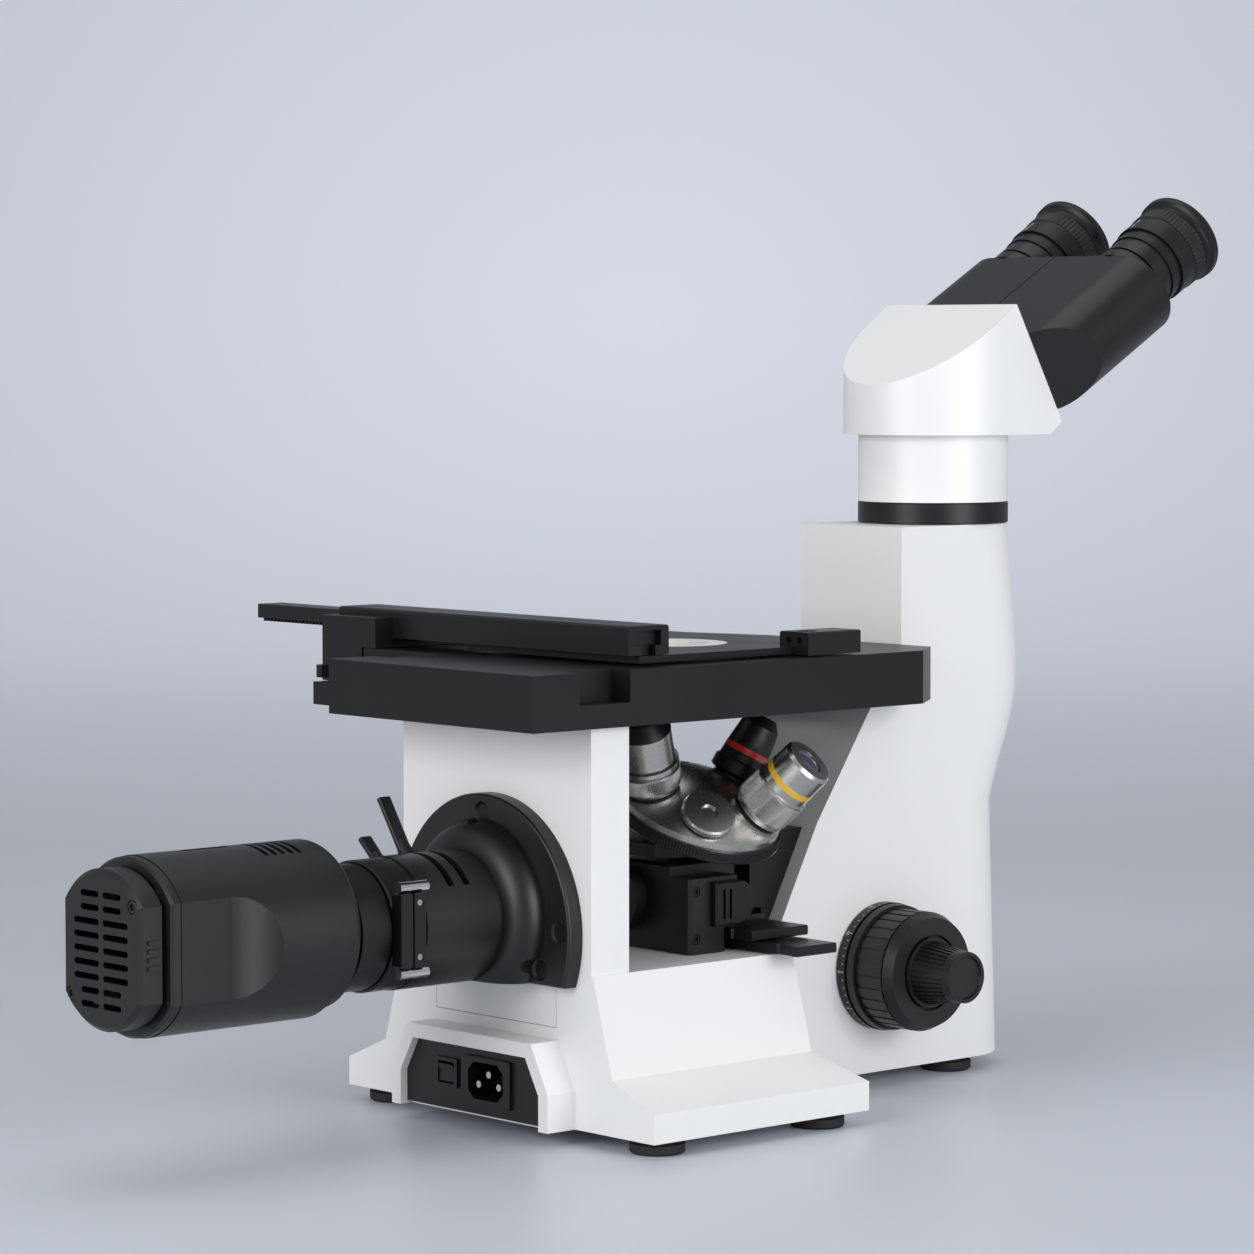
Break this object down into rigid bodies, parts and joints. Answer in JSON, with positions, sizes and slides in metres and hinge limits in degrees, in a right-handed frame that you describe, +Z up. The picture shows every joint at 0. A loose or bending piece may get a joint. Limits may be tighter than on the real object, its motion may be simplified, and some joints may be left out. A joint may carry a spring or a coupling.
{
  "type": "inverted microscope",
  "caption": "Inverted microscope with a wide cast stand, rear lamp housing, tilted objective turret under a mechanical stage, focus knobs and an inclined binocular head.",
  "frame": {"origin": "on the table, straight below the objective that is in use", "axes": "+Z up, +Y towards the lamp housing at the back, -Y towards the user, +X the far side of the picture"},
  "size_m": [0.3275, 0.6548, 0.4309],
  "materials": {
    "white_paint": "white powder coat on cast aluminium",
    "black_enamel": "black satin powder coat",
    "black_anodised": "black anodised, fine blasted",
    "black_plastic": "moulded black ABS, fine grain",
    "satin_chrome": "satin chrome on brass",
    "bright_steel": "bright turned steel",
    "black_chrome": "black anodised objective barrel",
    "rubber_black": "black moulded rubber",
    "white_insert": "white moulded insert ring",
    "clear_glass": "polished optical glass",
    "grey_steel": "zinc plated steel"
  },
  "bodies": {
    "frame": {"stand": "white_paint", "base_plate": "grey_steel", "feet": "rubber_black", "power_panel": "black_plastic", "inlet_socket": "black_plastic", "inlet_pins": "bright_steel", "switch_frame": "black_plastic", "access_cover": "white_paint", "illuminator_tube": "black_enamel", "flange_screws": "black_anodised", "collector_lens": "clear_glass", "clamp_collar": "black_anodised", "clamp_bars": "black_anodised", "clamp_screws": "bright_steel", "lamp_neck": "black_anodised", "lamp_housing": "black_enamel", "lamp_bezel": "black_plastic", "lamp_cap": "black_plastic", "lamp_socket": "grey_steel", "lamp_bulb": "clear_glass", "illuminator_block": "black_enamel", "illuminator_cover": "black_enamel", "thumb_plate": "black_anodised", "focus_guide": "black_anodised", "stage": "black_anodised", "head_ring": "black_anodised", "head_neck": "white_paint", "head_housing": "white_paint", "hinge_pin": "black_anodised"},
    "rocker": {"power_rocker": "black_plastic"},
    "nosepiece": {"focus_slide": "black_anodised", "nosepiece_mount": "black_anodised"},
    "turret": {"turret_disc": "satin_chrome", "turret_grip": "black_anodised", "objective_black_end": "satin_chrome", "objective_yellow": "satin_chrome", "objective_red": "black_chrome", "port_plug": "black_anodised"},
    "coarse_drive": {"coarse_knobs": "black_plastic"},
    "fine_drive": {"fine_knobs": "black_plastic"},
    "cross_stage": {"stage_carriage": "black_anodised", "x_bar": "black_anodised"},
    "long_stage": {"x_rack": "black_anodised", "specimen_plate": "black_anodised", "plate_insert": "white_insert", "guide_block": "black_anodised"},
    "cross_drive": {"stage_y_knob": "black_plastic"},
    "long_drive": {"stage_x_knob": "black_plastic"},
    "upper_slide": {"upper_slider": "black_anodised"},
    "lower_slide": {"lower_slider": "black_anodised"},
    "aperture": {"aperture_lever": "black_anodised"},
    "field": {"field_lever": "black_anodised"},
    "eye_left": {"binocular_left": "black_enamel", "eyepiece_left": "black_anodised"},
    "eye_right": {"binocular_right": "black_enamel", "eyepiece_right": "black_anodised"},
    "diopter_left": {"diopter_left": "black_anodised"},
    "diopter_right": {"diopter_right": "black_anodised"}
  },
  "joints": [
    {"name": "rocker_tilt", "type": "hinge", "parent": "frame", "child": "rocker", "pos_m": [0.019, 0.1173, 0.0252], "axis": [1, 0, 0], "range_deg": [0, 18]},
    {"name": "focus_travel", "type": "slide", "parent": "frame", "child": "nosepiece", "axis": [0, 0, 1], "range_m": [-0.002, 0.007]},
    {"name": "turret_turn", "type": "hinge", "parent": "nosepiece", "child": "turret", "pos_m": [-0.02175, 0, 0.1434], "axis": [-0.4226, 0, 0.9063], "continuous": true},
    {"name": "coarse_turn", "type": "hinge", "parent": "frame", "child": "coarse_drive", "pos_m": [0, -0.108, 0.0585], "axis": [1, 0, 0], "range_deg": [-25, 75]},
    {"name": "fine_turn", "type": "hinge", "parent": "frame", "child": "fine_drive", "pos_m": [0, -0.108, 0.0585], "axis": [1, 0, 0], "continuous": true},
    {"name": "cross_travel", "type": "slide", "parent": "frame", "child": "cross_stage", "axis": [0, 1, 0], "range_m": [-0.02, 0.02]},
    {"name": "long_travel", "type": "slide", "parent": "cross_stage", "child": "long_stage", "axis": [1, 0, 0], "range_m": [-0.025, 0.02]},
    {"name": "cross_drive_turn", "type": "hinge", "parent": "cross_stage", "child": "cross_drive", "pos_m": [0.128, 0.036, 0.14], "axis": [0, 0, 1], "range_deg": [-150, 150]},
    {"name": "long_drive_turn", "type": "hinge", "parent": "cross_stage", "child": "long_drive", "pos_m": [0.128, 0.036, 0.14], "axis": [0, 0, 1], "range_deg": [-155, 155]},
    {"name": "upper_slider_travel", "type": "slide", "parent": "frame", "child": "upper_slide", "axis": [1, 0, 0], "range_m": [0, 0.015]},
    {"name": "lower_slider_travel", "type": "slide", "parent": "frame", "child": "lower_slide", "axis": [1, 0, 0], "range_m": [0, 0.022]},
    {"name": "aperture_swing", "type": "hinge", "parent": "frame", "child": "aperture", "pos_m": [0, 0.143, 0.1], "axis": [0, 1, 0], "range_deg": [-80, 15]},
    {"name": "field_swing", "type": "hinge", "parent": "frame", "child": "field", "pos_m": [0, 0.152, 0.1], "axis": [0, 1, 0], "range_deg": [-90, 2]},
    {"name": "eye_right_fold", "type": "hinge", "parent": "frame", "child": "eye_right", "pos_m": [0, -0.20775, 0.3465], "axis": [0, -0.866, 0.5], "range_deg": [-41, 0]},
    {"name": "eye_left_fold", "type": "hinge", "parent": "frame", "child": "eye_left", "pos_m": [0, -0.20775, 0.3465], "axis": [0, -0.866, 0.5], "range_deg": [0, 41]},
    {"name": "diopter_left_turn", "type": "hinge", "parent": "eye_left", "child": "diopter_left", "pos_m": [-0.0365, -0.29608, 0.3975], "axis": [0, -0.866, 0.5], "range_deg": [-120, 120]},
    {"name": "diopter_right_turn", "type": "hinge", "parent": "eye_right", "child": "diopter_right", "pos_m": [0.0365, -0.29608, 0.3975], "axis": [0, -0.866, 0.5], "range_deg": [-120, 120]}
  ],
  "couplings": [
    {"joint": "coarse_turn", "follows": "focus_travel", "rad_per_m": 165.35},
    {"joint": "cross_drive_turn", "follows": "cross_travel", "rad_per_m": 125.66},
    {"joint": "long_drive_turn", "follows": "long_travel", "rad_per_m": 104.72},
    {"joint": "eye_left_fold", "follows": "eye_right_fold", "ratio": -1}
  ]
}
